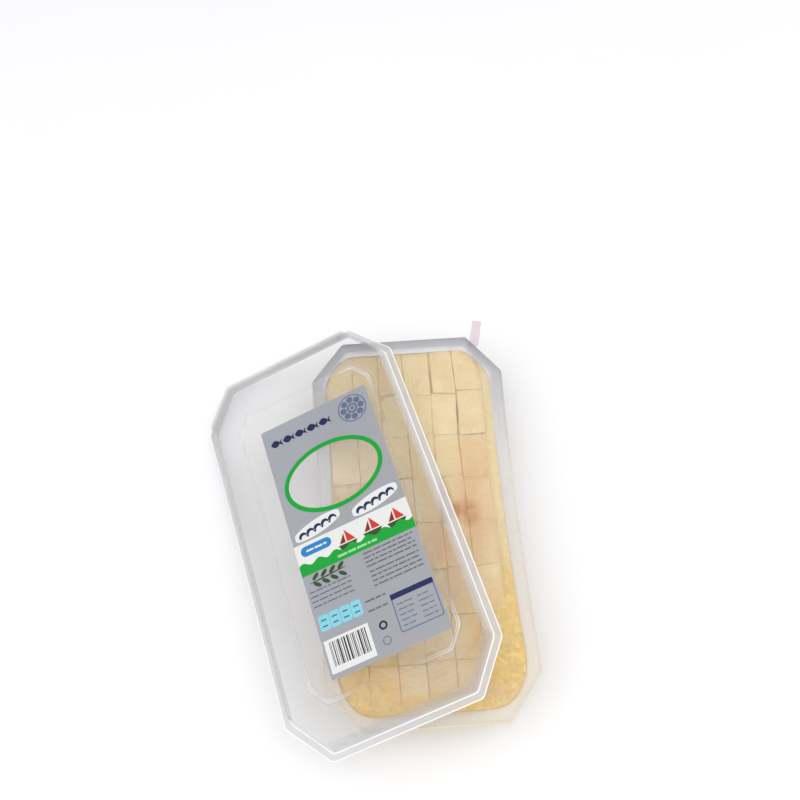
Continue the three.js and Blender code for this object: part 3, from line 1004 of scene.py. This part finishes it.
def print_picture(inks, rng):
    """The pale band across the middle: boats on a green sea, and a blue badge. A sprig lies below."""
    left, right = LABEL_MARGIN, LABEL_WIDTH - LABEL_MARGIN
    printed("label_band", [rectangle(left, BAND_TOP, right, BAND_FOOT)], 1, inks["white"])
    mains, fores, hulls = zip(*(boat(u, v) for u, v in BOATS))
    printed("label_sails", mains, 2, inks["red"])
    printed("label_fore_sails", fores, 2, inks["dark_red"])
    printed("label_hulls", hulls, 2, inks["dark_green"])
    printed("label_badge", [rectangle(4, 93.5, 26, 100.5, 3.4)], 2, inks["blue"])
    printed("label_badge_dashes", words(8, 22.5, 96.4, 96.4, 1, 1.3, rng), 3, inks["white"])
    printed("label_sea", [sea(left, right, SEA_LEVEL, BAND_FOOT, 7)], 3, inks["green"])
    printed("label_sea_dashes", words(27, 55, 109, 109, 1, 1.6, rng), 4, inks["pale_green"])

    stem = [(SPRIG_LEFT + i * 2, SPRIG_MIDDLE + 0.5 - 0.1 * i) for i in range(14)]
    leaves = [oval(SPRIG_LEFT + u, SPRIG_MIDDLE + side * 2.8, 3, 1.3, side * 38)
              for u in (5, 11, 17, 23) for side in (-1, 1)]
    printed("label_stem", [pen_stroke(stem, 1.0)], 2, inks["dark_green"])
    printed("label_leaves", leaves, 3, inks["dark_green"])


def print_window(inks):
    """A plain green oval frame round the pane, and two rows of waves side by side below it."""
    printed("label_ring", [oval(**WINDOW), oval(**PANE)], 2, inks["green"])
    for i, (left, right, v, crests) in enumerate(WAVE_ROWS):
        slant = [(u, v - 1.2 - WAVE_LIFT * (u - left) / (right - left))
                 for u in np.linspace(left - 3, right + 3, 40)]
        printed(f"label_wave_ground_{i + 1}", [pen_stroke(slant, 10.5)], 2, inks["white"])
        printed(f"label_waves_{i + 1}", wave_row(left, right, v, crests), 3, inks["navy"])


def print_emblems(inks):
    """A row of plain fish at the far end, and a rosette of petals round a ring at its right."""
    u, v = EMBLEM
    shoal = [loop for i in range(5) for loop in fish_shape(SHOAL_LEFT + i * 9.3, v, 9)]
    printed("label_fish", shoal, 2, inks["navy"])
    petals = [oval(u + 6.6 * math.cos(turn), v + 6.6 * math.sin(turn), 2.3, 2.3)
              for turn in np.linspace(0, 2 * math.pi, 9)[:-1]]
    rings = [oval(u, v, radius, radius) for radius in (3.8, 2.4, 1.3, 10.4, 9.6)]
    printed("label_rosette", petals + rings, 1, inks["pale_blue"])


def print_facts(inks, rng):
    """Small print, a row of cells, a bar code, two round marks and a table."""
    small = words(43, 78, 115, 124, 4, 0.9, rng) + words(44, 78, 128, 137.5, 4, 0.9, rng)
    small += words(2, 31, 124.5, 134.5, 4, 0.8, rng) + words(35, 49, 145, 151.5, 2, 1.0, rng)
    printed("label_small_print", small, 1, inks["slate"])

    starts = [2.6 + i * 7.5 for i in range(CELLS)]
    cells = [rectangle(u, 141.5, u + 7.1, 152, 1.6) for u in starts]
    dashes = [rectangle(u + 1.6, v, u + 5.3, v + 0.9) for u in starts for v in (144.5, 148.5)]
    printed("label_cells", cells, 1, inks["cyan"])
    printed("label_cell_marks", dashes, 2, inks["slate"])

    printed("label_code_field", [rectangle(1.8, 158, 32.4, 179.5)], 1, inks["white"])
    bars, u = [], 5.0
    while u < 29.5:
        thick = rng.choice((0.35, 0.35, 0.7, 1.05))
        bars.append(rectangle(u, 159.8, u + thick, 175.5))
        u += thick + rng.choice((0.4, 0.7, 1.0))
    printed("label_code_bars", bars, 2, inks["black"])

    dark_mark = [oval(41.5, 163.6, radius, radius) for radius in (2.8, 1.6)]
    faint_mark = [oval(41, 173.5, radius, radius) for radius in (2.8, 2.2)]
    printed("label_mark", dark_mark, 1, inks["black"])
    printed("label_mark_faint", faint_mark, 1, inks["pale_blue"])

    printed("label_table_head", [rectangle(51, 147.8, 80, 151.4, 0.6)], 2, inks["navy"])
    border = [rectangle(51, 150.5, 80, 173, 1.5), rectangle(51.7, 151.2, 79.3, 172.3, 1.2)]
    table = words(53.5, 64, 155, 169, 5, 0.7, rng) + words(67.5, 77, 155, 169, 5, 0.7, rng)
    printed("label_table", border + table, 1, inks["pale_blue"])


def add_label(carrier):
    """The clear label and all that is printed on it."""
    rng = random.Random(5)
    dress(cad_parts["lid_label"], carrier)
    inks = {
        name: ink("print_" + name, colour, INK_COVER.get(name, 1.0))
        for name, colour in INK_COLOURS.items()
    }
    print_ground(inks)
    print_picture(inks, rng)
    print_window(inks)
    print_emblems(inks)
    print_facts(inks, rng)


# ---------- the whole pack ----------
def add_floor(material):
    """A wide floor under the pack, which belongs to the stage."""
    bm = bmesh.new()
    bmesh.ops.create_grid(bm, x_segments=8, y_segments=8, size=3)
    mesh = bpy.data.meshes.new("floor")
    bm.to_mesh(mesh)
    bm.free()
    mesh.materials.append(material)
    floor = bpy.data.objects.new("floor", mesh)
    bpy.context.collection.objects.link(floor)


def main():
    """Builds the stage, the materials and the pack."""
    add_camera()
    add_world((0.98, 0.985, 1.0), 0.72)
    add_softbox("key", (-0.85, -0.35, 1.15), size=1.5, power=7.5)
    add_softbox("fill", (0.95, 0.25, 0.95), size=1.5, power=4)
    add_softbox("top", (0.1, -0.2, 1.4), size=1.0, power=3.5)
    add_floor(floor_material())
    scene = bpy.context.scene
    scene.view_settings.view_transform = "Standard"
    scene.cycles.transparent_max_bounces = 32     # light passes many thin clear layers here

    # painted highlight: the tray's and the lid's tones turn white along their edges
    tray_plastic = clear_plastic(
        "tray_plastic", (202, 202, 206), (250, 247, 240), face=0.14, side=0.3, edge=0.8, roughness=0.14
    )
    # painted shade: the film's tone turns grey over its far seal and where its side is seen
    film_plastic = clear_plastic(
        "film_plastic", (240, 240, 242), (176, 177, 182), face=0.05, side=0.3, edge=0.5, roughness=0.08
    )
    lid_plastic = clear_plastic(
        "lid_plastic", (164, 163, 168), (255, 255, 255), face=0.065, side=0.28, edge=1.0, roughness=0.1
    )
    label_film = clear_plastic(
        "label_film", (236, 236, 240), (240, 240, 240), face=0.08, side=0.4, edge=0.0, roughness=0.2
    )
    tab_plastic = clear_plastic(
        "tab_plastic", (200, 168, 182), (230, 206, 214), face=0.28, side=0.9, edge=0.0, roughness=0.2
    )

    add_tray(tray_plastic)
    add_film(film_plastic)
    dress(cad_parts["peel_tab"], tab_plastic)
    add_cubes(cod_material())
    add_oil(oil_material())
    add_oil_skin(skin_material())
    add_froth(froth_material())
    add_lid(lid_plastic)
    add_label(label_film)

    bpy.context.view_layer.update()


main()
